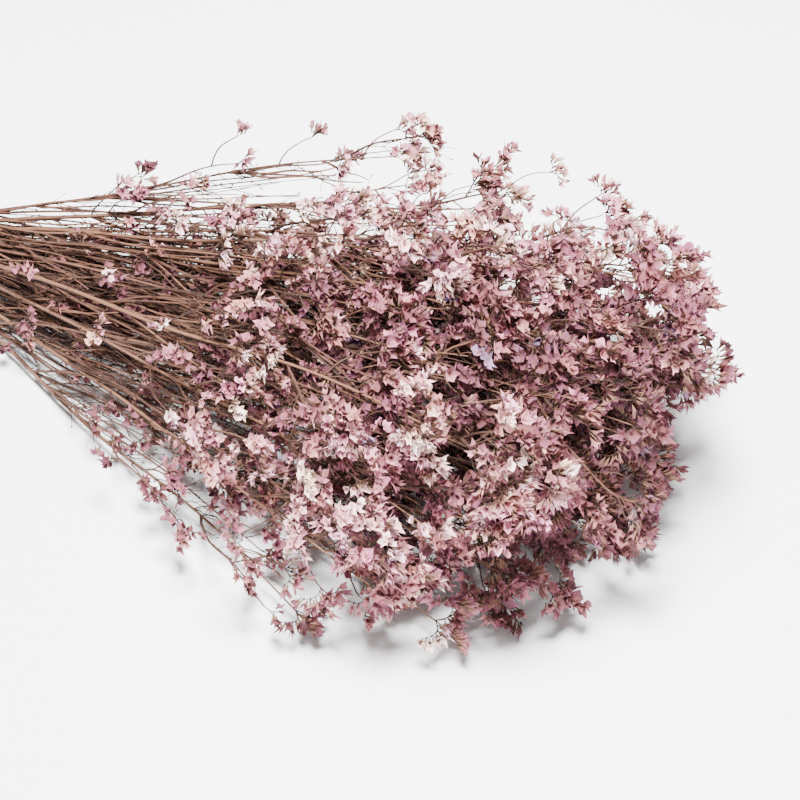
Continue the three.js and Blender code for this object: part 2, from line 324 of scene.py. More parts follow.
def joinBlocks(blocks):  # blocks of points, four-sided faces, triangles and marks into one set of arrays
    points, fours, threes, marks, start = [], [], [], [], 0
    for block in blocks:
        points.append(block["points"])
        marks.append(block["marks"])
        fours.append(block["fours"] + start)
        threes.append(block["threes"] + start)
        start += len(block["points"])
    return [np.concatenate(part) for part in (points, fours, threes, marks)]


def fill(items, key, values, kind=np.float32):
    items.foreach_set(key, values.astype(kind).ravel())


def makePiece(name, blocks, material, crisp=False):
    points, fours, threes, marks = joinBlocks(blocks)
    mesh = bpy.data.meshes.new(name)
    mesh.vertices.add(len(points))
    fill(mesh.vertices, "co", (points + place) * mm)
    mesh.loops.add(fours.size + threes.size)
    fill(mesh.loops, "vertex_index", np.concatenate([fours.ravel(), threes.ravel()]), np.int32)
    corners = np.concatenate([np.full(len(fours), 4), np.full(len(threes), 3)])
    mesh.polygons.add(len(corners))
    fill(mesh.polygons, "loop_start", np.cumsum(corners) - corners, np.int32)
    mesh.update(calc_edges=True)
    fill(mesh.polygons, "use_smooth", np.ones(len(corners)), bool)
    colours = mesh.attributes.new("growth", "FLOAT_COLOR", "POINT")
    fill(colours.data, "color", np.column_stack([marks, np.ones(len(marks))]))
    if crisp:  # the paper edge stays sharp where both ends of an edge lie on the rim
        ends = np.empty(len(mesh.edges) * 2, np.int32)
        mesh.edges.foreach_get("vertices", ends)
        onRim = np.abs(marks[:, 0] - 0.5) < 1e-6
        sharp = mesh.attributes.new("sharp_edge", "BOOLEAN", "EDGE")
        fill(sharp.data, "value", onRim[ends.reshape(-1, 2)].all(axis=1), bool)
    mesh.materials.append(material)
    piece = bpy.data.objects.new(name, mesh)
    bpy.context.scene.collection.objects.link(piece)
    return piece


def keepOffTable(block, knee):  # heights under the knee fall away exponentially and never reach the table
    z = block["points"][..., 2]
    room = knee - table["gap"]
    low = table["gap"] + room * np.exp((np.minimum(z, knee) - knee) / room)
    block["points"][..., 2] = np.where(z < knee, low, z)


def squareTo(t):  # two directions square to each direction and to each other
    reference = np.where(np.abs(t[..., 2:3]) > 0.9, np.array([1.0, 0, 0]), up)
    a = unit(np.cross(reference, t))
    return a, np.cross(t, a)


def tubes(paths, radii, sides, tone, ridges=2, fluted=0.0, onCut=0):
    # paths (curves, rings, 3): a ring of points centre + radius·(a·cos + b·sin) carried along each path,
    # where a is the last ring's a without its part along the path, and b is square to both;
    # the radius swings by the fluted share from side to side, and the first onCut rings lie on the cut face
    curves, rings = paths.shape[:2]
    t = unit(np.gradient(paths, axis=1))
    a = np.empty_like(paths)
    a[:, 0] = squareTo(t[:, 0])[0]
    for ring in range(1, rings):
        along = (a[:, ring - 1] * t[:, ring]).sum(-1, keepdims=True)
        a[:, ring] = unit(a[:, ring - 1] - along * t[:, ring])
    b = np.cross(t, a)
    angle = wholeTurn * np.arange(sides) / sides
    spokes = turned(a[:, :, None], b[:, :, None], angle[:, None])
    flutes = 1 + fluted * np.cos(math.pi * np.arange(sides))
    skin = paths[:, :, None] + spokes * (radii[:, :, None] * flutes)[..., None]
    butt = paths[:, 0] - t[:, 0] * radii[:, 0, None] * tube["buttBulge"]
    tip = paths[:, -1] + t[:, -1] * radii[:, -1, None]
    points = np.concatenate([skin.reshape(curves, -1, 3), butt[:, None], tip[:, None]], axis=1)

    share = np.linspace(tube["rootShare"], 1, rings)
    share[:onCut] = 0
    marks = np.empty((curves, rings * sides + 2, 3))  # ridge, place along, tone
    marks[:, :-2, 0] = np.tile(0.5 + 0.5 * np.cos(ridges * angle), rings)
    marks[:, :-2, 1] = np.repeat(share, sides)
    marks[:, -2], marks[:, -1] = (0.5, share[0], 0), (0.5, 1, 0)
    marks[:, :, 2] = np.asarray(tone, float).reshape(-1, 1)

    ring, side = np.meshgrid(np.arange(rings - 1) * sides, np.arange(sides), indexing="ij")
    following, ahead = (side + 1) % sides, ring + sides
    fours = np.stack([ring + side, ring + following, ahead + following, ahead + side], -1).reshape(-1, 4)
    side, last = np.arange(sides), (rings - 1) * sides
    following = (side + 1) % sides
    foot = np.stack([np.full(sides, rings * sides), following, side], -1)
    top = np.stack([np.full(sides, rings * sides + 1), last + side, last + following], -1)
    return repeated(points, fours, np.concatenate([foot, top]), marks)


def repeated(points, fours, threes, marks):  # one pattern of faces for every copy of a shape
    copies, each = points.shape[:2]
    starts = (np.arange(copies) * each)[:, None, None]
    return dict(
        points=points.reshape(-1, 3),
        fours=(fours[None] + starts).reshape(-1, 4),
        threes=(threes[None] + starts).reshape(-1, 3),
        marks=marks.reshape(-1, 3),
    )


# calyx: a five-pointed paper funnel, millimetres at size 1

calyx = dict(
    lobes=5,
    rowHeight=[4.2, 8.1],  # foot of the flare, lobe tip
    rowRadius=[1.3, 4.3], notchHeight=[4.1, 6.7], notchRadius=[1.0, 2.9], throat=3.7,
    openness=(0.52, 1.12),
    opensAtFoot=0.4,  # power of the openness there
    tallerShut=0.22,  # a half-shut funnel stands a little taller
    flattened=0.36, flattenedAtFoot=0.5, widened=0.6, bowed=1.3, throatBow=0.4, ragged=0.3,
    raggedAtFoot=0.2,
    ruffled=0.12,  # lobes bent in or out of line, as a share of their height
    uneven=0.2,  # and turned to one side, in radians
    marksAt=[0.3, 0.5],  # the foot of the flare and the rim, from base 0 to throat 1
)


def calyces(base, direction, size, turn, tone, random):
    # row radius swings between lobe and notch as cos(5·angle), the flare is flattened to an ellipse
    # and bowed to one side by the square of the height, and each lobe tip is a little long or short,
    # bent out of line and turned to one side
    count, columns = len(base), 2 * calyx["lobes"]
    a, b = squareTo(direction)
    angle = wholeTurn * np.arange(columns) / columns
    isLobe = np.cos(calyx["lobes"] * angle) > 0
    atTip = np.array([0, 1])[:, None]

    def rows(lobe, notch):
        return np.where(isLobe, np.array(calyx[lobe])[:, None], np.array(calyx[notch])[:, None])[None]

    def perLobe(draw, low, high):
        return draw(low, high, (count, 1, columns))

    def toTip(key):  # the setting at the foot of the flare, 1 at the tips
        return np.array([calyx[key], 1])

    ragged = 1 + calyx["ragged"] * perLobe(random.uniform, -1, 1) * toTip("raggedAtFoot")[:, None]
    opened = random.uniform(*calyx["openness"], count)[:, None] ** toTip("opensAtFoot")
    closing = 1 + (1 - opened) * calyx["tallerShut"]
    ruffle = 1 + calyx["ruffled"] * perLobe(random.normal, 0, 1) * atTip
    h = rows("rowHeight", "notchHeight") * ragged * ruffle * closing[:, :, None] * size[:, None, None]
    r = rows("rowRadius", "notchRadius") * ragged * opened[:, :, None] * size[:, None, None]
    flat = random.uniform(0, 1, count)[:, None, None] * toTip("flattenedAtFoot")[:, None]
    flat = calyx["flattened"] * flat
    angle = angle + turn[:, None, None] + calyx["uneven"] * perLobe(random.uniform, -1, 1) * atTip
    across = r * np.cos(angle) * (1 - flat)
    along = r * np.sin(angle) * (1 + flat * calyx["widened"])
    bow = random.uniform(-1, 1, count)[:, None, None] * calyx["bowed"] * (h / calyx["rowHeight"][1]) ** 2
    skin = base[:, None, None] + direction[:, None, None] * h[..., None]
    skin = skin + a[:, None, None] * (across + bow)[..., None] + b[:, None, None] * along[..., None]
    throat = base + direction * (calyx["throat"] * size)[:, None]
    throat = throat + a * bow.mean((1, 2))[:, None] * calyx["throatBow"]
    points = np.concatenate([base[:, None], skin.reshape(count, -1, 3), throat[:, None]], axis=1)

    marks = np.empty((count, 2 * columns + 2, 3))  # place from base over rim to throat, rib, tone
    marks[:, 1:-1, 0] = np.repeat(calyx["marksAt"], columns)
    marks[:, 1:-1, 1] = np.tile(isLobe, 2)
    marks[:, 0], marks[:, -1] = (0, 0.5, 0), (1, 0.5, 0)
    marks[:, :, 2] = tone[:, None]

    side, following = np.arange(columns), (np.arange(columns) + 1) % columns
    lower, upper = 1, 1 + columns
    fours = np.stack([lower + side, lower + following, upper + following, upper + side], -1)
    foot = np.stack([np.zeros(columns, int), lower + following, lower + side], -1)
    mouth = np.stack([np.full(columns, 2 * columns + 1), upper + side, upper + following], -1)
    return repeated(points, fours, np.concatenate([foot, mouth]), marks)


def bracts(base, direction, length, width, tone):  # a pointed scale: three corners round the foot and a tip
    a, b = squareTo(direction)
    angle = wholeTurn * np.arange(3) / 3
    spokes = turned(a[:, None], b[:, None], angle[:, None])
    tip = base + direction * length[:, None]
    points = np.concatenate([base[:, None] + spokes * width[:, None, None], tip[:, None]], axis=1)
    marks = np.empty((len(base), 4, 3))
    marks[:, :, 0], marks[:, :, 1], marks[:, :, 2] = 0.2, 0.6, tone[:, None]
    threes = np.array([[2, 1, 0], [0, 1, 3], [1, 2, 3], [2, 0, 3]])
    return repeated(points, np.empty((0, 4), int), threes, marks)


# spikes: one-sided curved combs of calyces

spike = dict(
    stalk=(2.0, 7.0), length=(11.0, 20.5), spacing=1.92, spacingJitter=0.2, fewest=3, turnJitter=0.25,
    leanAtFoot=(0.3, 0.8), turn=(1.3, 2.4),
    middleLean=(0, 0.2),  # the one that stands in the middle
    middleTurn=(0.3, 0.6),
    lowEnd=20,  # under this height none leans down
    rowAngle=(0.12, 0.45), forward=0.5, forwardAtTip=1.0, jitter=0.1, calyxSize=(0.95, 1.22),
    sizeLoss=0.22, sizeShare=(0.55, 0.45), radius=0.42, radiusLoss=0.45, radiusShare=(0.5, 0.5),
    rings=5, gridSteps=24, barkTones=(0.1, 0.5),
)
scale = dict(length=(2.2, 3.8), width=(0.5, 0.8), tone=(0, 0.35), forward=0.5, jitter=0.25, sunk=0.4)
flowerTone = dict(  # 0 cream, 0.4 dusty pink, 0.8 mauve
    ofSpray=(0.41, 0.7), ofCluster=(-0.1, 0.1), spread=0.22, within=0.035, limits=(0.1, 0.8),
    calyxLimits=(0.02, 0.98), cream=0.04, creamShare=0.15, creamUnder=0.5, violet=0.97,
    violetShare=0.01,
    deeperInside=0.45,  # painted shade: darker flowers towards the middle of the bunch
    insideFrom=0.74, outermost=1.1,
    deeperLow=0.42,  # and painted shade low down towards the cut ends
    lowFrom=110, lowReach=1.15,
)


def rising(pair, share):  # the first number, and the second times the share on top
    return pair[0] + pair[1] * share


def ownTone(tone, random):  # a few spikes are cream or violet
    own = tone + random.uniform(-1, 1) * flowerTone["spread"]
    odd = random.uniform(0, 1)
    if odd < flowerTone["creamShare"] and own < flowerTone["creamUnder"]:
        return flowerTone["cream"]
    if odd > 1 - flowerTone["violetShare"]:
        return flowerTone["violet"]
    return min(flowerTone["limits"][1], max(flowerTone["limits"][0], own))


def addSpikes(spikes, end, direction, size, tone, random, count):
    # spikes lean out from the end of a branch at even turns and bow away from its line
    a, b = squareTo(direction)
    start = random.uniform(0, wholeTurn)
    for i in range(count):
        jitter = random.uniform(-spike["turnJitter"], spike["turnJitter"])
        angle = start + wholeTurn * (i + jitter) / max(1, count - 1)
        outward = turned(a, b, angle)
        lean = random.uniform(*spike["leanAtFoot"])
        turn = random.uniform(*spike["turn"])
        if i == count - 1:
            lean, turn = random.uniform(*spike["middleLean"]), random.uniform(*spike["middleTurn"])
        if end[2] < spike["lowEnd"] and outward[2] < 0:
            outward = outward * [1, 1, -0.5]
            outward = unit(outward - (outward @ direction) * direction)
        spikes.append(dict(
            foot=end, direction=direction, outward=outward, lean=lean, turn=turn, size=size,
            tone=ownTone(tone, random),
            stalk=random.uniform(*spike["stalk"]) * size,
            length=random.uniform(*spike["length"]) * size,
        ))


def spikeCurves(spikes):
    # straight along the stalk, then the direction turns evenly from the branch's line towards outward:
    # t = direction·cos(angle) + outward·sin(angle), summed in small steps
    gather = {key: np.array([one[key] for one in spikes]) for key in spikes[0]}
    steps = np.linspace(0, 1, spike["gridSteps"] + 1)
    whole = (gather["stalk"] + gather["length"])[:, None]
    flowered = np.clip((steps * whole - gather["stalk"][:, None]) / gather["length"][:, None], 0, 1)
    angle = (gather["lean"][:, None] + gather["turn"][:, None] * flowered)[..., None]
    d, e = gather["direction"][:, None], gather["outward"][:, None]
    t = turned(d, e, angle)
    stepped = (t[:, 1:] + t[:, :-1]) / 2 * (whole / spike["gridSteps"])[..., None]
    foot = gather["foot"][:, None]
    line = np.concatenate([foot, foot + np.cumsum(stepped, axis=1)], axis=1)
    return gather, line, t, turned(-e, d, angle)


def dressSpikes(spikes, random):
    # calyces at even steps along each spike, in turn to its left and right, and a scale under every other one
    gather, line, t, outer = spikeCurves(spikes)
    counts = np.maximum(spike["fewest"], np.round(gather["length"] / spike["spacing"]).astype(int))
    which = np.repeat(np.arange(len(spikes)), counts)
    many = len(which)
    order = np.arange(many) - np.repeat(np.cumsum(counts) - counts, counts)
    jitter = random.uniform(-spike["spacingJitter"], spike["spacingJitter"], many)
    share = (order + 0.5 + jitter) / counts[which]
    stalkShare = gather["stalk"] / (gather["stalk"] + gather["length"])
    at = (stalkShare[which] + (1 - stalkShare[which]) * share) * spike["gridSteps"]
    low = np.clip(at.astype(int), 0, spike["gridSteps"] - 1)
    part = (at - low)[:, None]

    def read(field):
        return field[which, low] * (1 - part) + field[which, low + 1] * part

    base, ahead, outer = read(line), unit(read(t)), unit(read(outer))
    sideways = np.cross(ahead, outer) * np.where(order % 2, 1, -1)[:, None]
    row = random.uniform(*spike["rowAngle"], many)[:, None]
    forward = (spike["forward"] + (spike["forwardAtTip"] - spike["forward"]) * share**3)[:, None]
    jitter = random.normal(0, spike["jitter"], (many, 3))
    direction = unit(turned(outer, sideways, row) + ahead * forward + jitter)
    size = random.uniform(*spike["calyxSize"], many) * (1 - spike["sizeLoss"] * share**2)
    size = size * rising(spike["sizeShare"], gather["size"][which])
    tone = gather["tone"][which] + random.normal(0, flowerTone["within"], many)
    turn = random.uniform(0, wholeTurn, many)
    flowers = calyces(base, direction, size, turn, np.clip(tone, *flowerTone["calyxLimits"]), random)

    rings = np.round(np.linspace(0, spike["gridSteps"], spike["rings"])).astype(int)
    radii = spike["radius"] * (1 - spike["radiusLoss"] * np.linspace(0, 1, spike["rings"]))[None]
    radii = radii * rising(spike["radiusShare"], gather["size"][:, None])
    axes = tubes(line[:, rings], radii, 3, random.uniform(*spike["barkTones"], len(spikes)))
    leaning = unit(direction + scale["forward"] * ahead + random.normal(0, scale["jitter"], direction.shape))
    length, width, scaleTone = (random.uniform(*scale[key], many) for key in ("length", "width", "tone"))
    bare = order % 2 == 0
    feet = base - direction * scale["sunk"]
    scales = bracts(*(values[bare] for values in (feet, leaning, length, width, scaleTone)))
    return flowers, [axes, scales]


# stems, branches and bare twiglets

stem = dict(
    seed=4100, radiusAtCut=1.5, radiusAtTip=0.55, taper=1.4, thinnest=0.7,
    thickTo=50,  # behind this x no stem is thinned
    sides=8, rings=54, tones=(0.25, 1), wobble=3.6, wobbleShare=(0.4, 1), wobbleFrom=30,
    wobbleGrows=190, wobbleLength=42, upwardWobble=1.37, knotSwell=0.22, knotLength=1.7, ridges=3,
    fluted=0.07,
    cutAt=[-0.04, -0.02, 0.22, 1.0],  # rings round the cut end, along the stem
    cutRadius=[0.62, 0.88, 1, 1], ringsOnCut=2,
    gathered=60,  # behind this x it rests on its ridges
    tableGap=0.04,
)
branch = dict(
    radius=(1.0, 0.5), radiusShare=(0.55, 0.45), sides=6, rings=13, tones=(0.2, 0.8), wobble=1.3,
    sunk=2.5,  # it starts this far back on the stem
    spikes=4, sideForks=4, sideForksAt=(0.3, 0.9), sideSize=0.88, sideReach=(0.4, 0.6),
)
cluster = dict(
    flowersFrom=80,  # along the bunch, where the first small ones stand
    flowersFull=360, lateToSides=0.45, fewest=2, countShare=(0.4, 0.6), sizeShare=(0.72, 0.28),
    room=27,  # nearer to the solids' box it is smaller
    leastRoom=0.3, margin=14, lowMargin=0.6,
)
sideBranch = dict(
    reach=(18, 42), along=0.85, out=0.6, lean=0.55, radius=(0.55, 0.36), sides=4, rings=7,
    tones=(0.1, 0.6), wobble=0.7, spikes=3, tries=12,
)
onBareStem = dict(  # side branches straight from a stem, in the mass and, small, below it
    forks=9, forksAt=(0.42, 0.95), forkShare=(0.1, 0.8), forkSize=(0.75, 0.95), lowClusters=1.7,
    lowAt=(85, 200), lowSize=(0.5, 0.85), lowReach=0.7,
)
runner = dict(  # long thin branches that leave low on a stem
    onStem=4, at=(-0.02, 0.5), length=(90, 230), furthest=0.97, offset=(9, 38),
    offsetShare=(0.35, 1 / 150), bend=0.6, lean=(0.1, 0.6), radius=(0.9, 0.42), thickness=(0.7, 1.1),
    sides=5, rings=15, tones=(0.2, 0.95), wobble=1.5, spikes=3, size=(0.8, 1), bareShare=0.45,
    sideForks=2, sideFrom=6, sideSize=0.85, sideReach=(0.3, 0.6), edge=1.1, lowest=1.2, tries=20,
)
wire = dict(  # bare branches, a few from each knot
    knots=10, fromKnot=(2, 5), at=(-0.08, 0.9), length=(50, 190), shortBehind=(0.45, 120),
    furthest=0.95, lean=(0.1, 0.75), bend=(-0.8, 0.1), inwardsTo=190, radius=(0.85, 0.4),
    thickness=(0.5, 1.3), sides=4, rings=9, tones=(0.2, 0.95), wobble=1.0, edge=0.7, edgeShare=0.95,
    margin=8, lowest=0.8, tries=8,
)
twiglet = dict(
    onStem=24, onBranch=2, at=(-0.05, 0.75), length=(14, 50), shortBehind=(0.5, 150),
    onBranchLength=0.7, radius=(0.36, 0.2), tones=(0.05, 0.55), zigzag=0.2, zigzagShare=(0.4, 1.6),
    lean=(0.25, 0.85),
    lowRoots=25,  # under this height none heads down
    lowRise=0.7, joints=7, forks=2, forkLean=0.7, forkLength=(0.3, 0.6), forkRadius=0.75,
    bract=(1.6, 2.8), bractWidth=0.26, bractTone=0.1, bractSunk=0.3,
)
lowSize = 0.3  # flower heads at the gathering, growing to full size along the bunch

boxLow = np.array([cadBox[0][i] for i in range(3)]) / mm - place
boxHigh = np.array([cadBox[1][i] for i in range(3)]) / mm - place


def inside(points, margin):
    low = boxLow + margin * np.array([1, 1, cluster["lowMargin"]])
    return bool((points > low).all() and (points < boxHigh - margin).all())


def fromMiddle(point):  # the way out from the middle line of the bunch, and how near to the outline it is
    x = max(1, point[0])
    away = point - np.array([point[0], 0, math.tan(bunch["middleRise"]) * x])
    return away, np.linalg.norm(away) / max(bunch["leastHalf"], bunch["halfOpening"] * x)


def anyAround(t, random, point=None):  # near the outline of the bunch it points to the inside
    a, b = squareTo(t)
    angle = random.uniform(0, wholeTurn)
    outward = turned(a, b, angle)
    if point is not None:
        away, edge = fromMiddle(point)
        if (outward @ unit(away)) * edge > 0.15:
            outward = outward - 2 * (outward @ unit(away)) * unit(away)
            outward = unit(outward - (outward @ t) * t)
    return outward


def mainStem(spray, random):
    # the solid's centreline plus a slow wobble that starts beyond the gathering; each fork swells the stem
    knots = np.array([twig["x"] for twig in spray["twigs"]])
    atKnots = (knots[:, None] + np.array([-1, 0, 1]) * stem["knotLength"]).ravel()
    x = np.sort(np.concatenate([np.linspace(spray["cutX"], spray["endX"], stem["rings"]), atKnots]))
    line = stemPoint(spray, x)
    share = np.clip(x / spray["endX"], 0, 1)
    phase = random.uniform(0, wholeTurn, 2)
    grown = np.clip((x - stem["wobbleFrom"]) / stem["wobbleGrows"], 0, 1)
    grown = grown * stem["wobble"] * random.uniform(*stem["wobbleShare"])
    line[:, 1] += grown * np.sin(x / stem["wobbleLength"] + phase[0])
    line[:, 2] += grown * np.sin(x / stem["wobbleLength"] * stem["upwardWobble"] + phase[1])
    radii = stem["radiusAtCut"] + (stem["radiusAtTip"] - stem["radiusAtCut"]) * share ** stem["taper"]
    radii = radii * np.where(x < stem["thickTo"], 1, random.uniform(stem["thinnest"], 1))
    swell = np.exp(-(((x[:, None] - knots) / stem["knotLength"]) ** 2)).sum(1)
    radii = radii * (1 + stem["knotSwell"] * swell)

    cutEnd = line[0] + stemDirection(spray, spray["cutX"]) * np.array(stem["cutAt"])[:, None]
    line = np.concatenate([cutEnd, line[1:]])
    x = np.concatenate([cutEnd[:, 0], x[1:]])
    radii = np.concatenate([radii[0] * np.array(stem["cutRadius"]), radii[1:]])
    atCut = len(cutEnd) - 1
    resting = np.where(x < stem["gathered"], np.maximum(radii, radii[atCut]) * (1 + stem["fluted"]), radii)
    line[:, 2] = np.maximum(line[:, 2], resting + stem["tableGap"])
    spray["line"], spray["lineX"] = line, x
    tone = random.uniform(*stem["tones"])
    return tubes(
        line[None], radii[None], stem["sides"], tone,
        ridges=stem["ridges"], fluted=stem["fluted"], onCut=stem["ringsOnCut"],
    )


def onStem(spray, x):  # the point and the direction there
    point = np.array([np.interp(x, spray["lineX"], along) for along in spray["line"].T])
    return point, stemDirection(spray, x)


def bowed(line, random, wobble):  # bows out between its ends, which stay where they are
    share = np.linspace(0, 1, len(line))[:, None]
    t = unit(line[-1] - line[0])
    sideways = anyAround(t, random)
    other = np.cross(t, sideways)
    bow = np.sin(share * math.pi * 2) * sideways + 0.6 * np.sin(share * math.pi * 3) * other
    return line + bow * wobble


def flowering(point):  # 0 where only bare wood stands, 1 in the full mass, later towards the sides
    along = point[0] - cluster["lateToSides"] * abs(point[1])
    full = (along - cluster["flowersFrom"]) / (cluster["flowersFull"] - cluster["flowersFrom"])
    return float(np.clip(full, 0, 1))


def growSpray(spray):
    random = np.random.default_rng(stem["seed"] + spray["index"])
    bark = [mainStem(spray, random)]
    spikes, limbs, limbSizes, thin, runners = [], [], [], [], []
    sprayTone = random.uniform(*flowerTone["ofSpray"])

    def roomFor(end, size):  # a cluster near the box's sides is smaller
        gap = min((end - boxLow)[:2].min(), (boxHigh - end).min())
        return size * min(1, max(cluster["leastRoom"], gap / cluster["room"]))

    def addCluster(end, heading, size, most):
        full = flowering(end)
        count = max(cluster["fewest"], round(most * rising(cluster["countShare"], full)))
        # painted shade: the tone is pushed darker towards the middle of the bunch, where the mass lies in
        # shade
        edge = min(flowerTone["outermost"], fromMiddle(end)[1])
        paintedInsideShade = flowerTone["deeperInside"] * (flowerTone["insideFrom"] - edge)
        # painted shade low down near the table, stronger towards the cut ends; low holds this shade
        low = flowerTone["deeperLow"] * max(0, 1 - end[2] / flowerTone["lowFrom"])
        low = low * (flowerTone["lowReach"] - end[0] / bunch["reach"])
        tone = sprayTone + random.uniform(*flowerTone["ofCluster"]) + paintedInsideShade + low
        size = roomFor(end, size * rising(cluster["sizeShare"], full))
        addSpikes(spikes, end, heading, size, tone, random, count)

    def addSide(root, t, size, reach):  # a forked branch with a smaller cluster, kept inside the solid's box
        v = np.linspace(0, 1, sideBranch["rings"])[:, None]
        for attempt in range(sideBranch["tries"]):
            outward = anyAround(t, random)
            line = root + t * reach * sideBranch["along"] * v
            line = line + outward * reach * sideBranch["out"] * (2 * v - v * v)
            if inside(line[-3:], cluster["margin"]):
                thin.append(bowed(line, random, sideBranch["wobble"]))
                addCluster(line[-1], leaned(t, outward, sideBranch["lean"]), size, sideBranch["spikes"])
                return

    def sideReach(pair, size):
        return random.uniform(*sideBranch["reach"]) * rising(pair, size)

    def addRunner(x, reach, share):  # a long thin branch that keeps close to its stem
        root, t = onStem(spray, x)
        edge = max(runner["edge"], fromMiddle(root + t * reach)[1])
        v = np.linspace(0, 1, runner["rings"])[:, None]
        curved = (1 + runner["bend"]) * v - runner["bend"] * v * v
        for attempt in range(runner["tries"]):
            outward = anyAround(t, random)
            line = root + t * reach * v + outward * random.uniform(*runner["offset"]) * curved * share
            low, out = line[:, 2].min() <= runner["lowest"], fromMiddle(line[-1])[1] >= edge
            if low or out or not inside(line[-5:], cluster["margin"]):
                continue
            runners.append(bowed(line, random, runner["wobble"]))
            full = flowering(line[-1])
            if full == 0 and random.uniform(0, 1) < runner["bareShare"]:
                return
            size = min(1, lowSize + line[-1][0] / bunch["reach"]) * random.uniform(*runner["size"])
            heading = leaned(t, outward, random.uniform(*runner["lean"]))
            addCluster(line[-1], heading, size, runner["spikes"])
            forks = round(runner["sideForks"] * full)
            for at in random.integers(runner["sideFrom"], runner["rings"] - 1, forks):
                addSide(line[at], t, size * runner["sideSize"], sideReach(runner["sideReach"], size))
            return

    def addBark(lines, settings, thickness=1):  # each branch tapers evenly
        radii = np.linspace(*settings["radius"], settings["rings"])[None] * thickness
        tones = random.uniform(*settings["tones"], len(lines))
        bark.append(tubes(np.array(lines), radii, settings["sides"], tones))

    for twig in spray["twigs"]:
        head, size = twig["head"], twig["head"]["size"]
        line = bowed(twigPoint(twig, np.linspace(0, 1, branch["rings"] - 1)), random, branch["wobble"])
        line = np.concatenate([onStem(spray, twig["x"] - branch["sunk"])[0][None], line])
        limbs.append(line)
        limbSizes.append([rising(branch["radiusShare"], size)])
        addCluster(line[-1], head["direction"], size, branch["spikes"])
        for k in range(round(branch["sideForks"] * flowering(line[-1]) * size)):
            at = 1 + random.uniform(*branch["sideForksAt"]) * (len(line) - 2)
            low = int(at)
            step = line[min(low + 1, len(line) - 1)] - line[low]
            reach = sideReach(branch["sideReach"], size)
            addSide(line[low] + step * (at - low), unit(step), size * branch["sideSize"], reach)
    addCluster(spray["line"][-1], spray["tip"]["direction"], spray["tip"]["size"], branch["spikes"])
    for k in range(onBareStem["forks"]):
        x = spray["endX"] * random.uniform(*onBareStem["forksAt"])
        point, t = onStem(spray, x)
        if random.uniform(0, 1) > rising(onBareStem["forkShare"], flowering(point)):
            continue
        size = min(1, lowSize + x / bunch["reach"]) * random.uniform(*onBareStem["forkSize"])
        addSide(point, t, size, sideReach(branch["sideReach"], size))
    for k in range(int(onBareStem["lowClusters"] + random.uniform(0, 1))):
        point, t = onStem(spray, random.uniform(*onBareStem["lowAt"]))
        size = random.uniform(*onBareStem["lowSize"])
        addSide(point, t, size, random.uniform(*sideBranch["reach"]) * onBareStem["lowReach"])
    for k in range(runner["onStem"]):
        x = spray["endX"] * random.uniform(*runner["at"])
        reach = min(random.uniform(*runner["length"]), spray["endX"] * runner["furthest"] - x)
        addRunner(x, reach, min(1, rising(runner["offsetShare"], x)))

    addBark(limbs, branch, np.array(limbSizes))
    addBark(thin, sideBranch)
    addBark(runners, runner, random.uniform(*runner["thickness"], (len(runners), 1)))
    wires = bareWires(spray, random)
    addBark(wires, wire, random.uniform(*wire["thickness"], (len(wires), 1)))
    bark += bareTwiglets(spray, limbs, random)
    flowers, spikeBark = dressSpikes(spikes, random)
    bark += spikeBark
    for block in bark:
        keepOffTable(block, table["barkKnee"])
    keepOffTable(flowers, table["flowerKnee"])
    return [flowers], bark


def shortBehind(settings, x):  # a share of the full length that grows along the stem
    least, distance = settings["shortBehind"]
    return min(1, least + max(0, x) / distance)


def bareWires(spray, random):
    # from each knot on the stem a few thin branches leave at small angles and bend evenly:
    # t·along + outward·(tan(lean)·along + bend·along²), with along up to the branch's length
    lines = []
    v = np.linspace(0, 1, wire["rings"])[:, None]
    for knot in range(wire["knots"]):
        x = spray["endX"] * random.uniform(*wire["at"])
        root, t = onStem(spray, x)
        for k in range(random.integers(*wire["fromKnot"])):
            for attempt in range(wire["tries"]):
                outward = anyAround(t, random, root if x < wire["inwardsTo"] else None)
                length = random.uniform(*wire["length"]) * shortBehind(wire, x)
                length = min(length, wire["furthest"] * spray["endX"] - x)
                lean, bend = math.tan(random.uniform(*wire["lean"])), random.uniform(*wire["bend"])
                line = root + length * (t * v + outward * (lean * v + lean * bend * v * v))
                stemEdge = fromMiddle(onStem(spray, line[-1][0])[0])[1]
                edge = max(wire["edge"], wire["edgeShare"] * stemEdge)
                high, within = line[:, 2].min() > wire["lowest"], fromMiddle(line[-1])[1] < edge
                if high and within and inside(line[-3:], wire["margin"]):
                    lines.append(bowed(line, random, wire["wobble"]))
                    break
    return lines


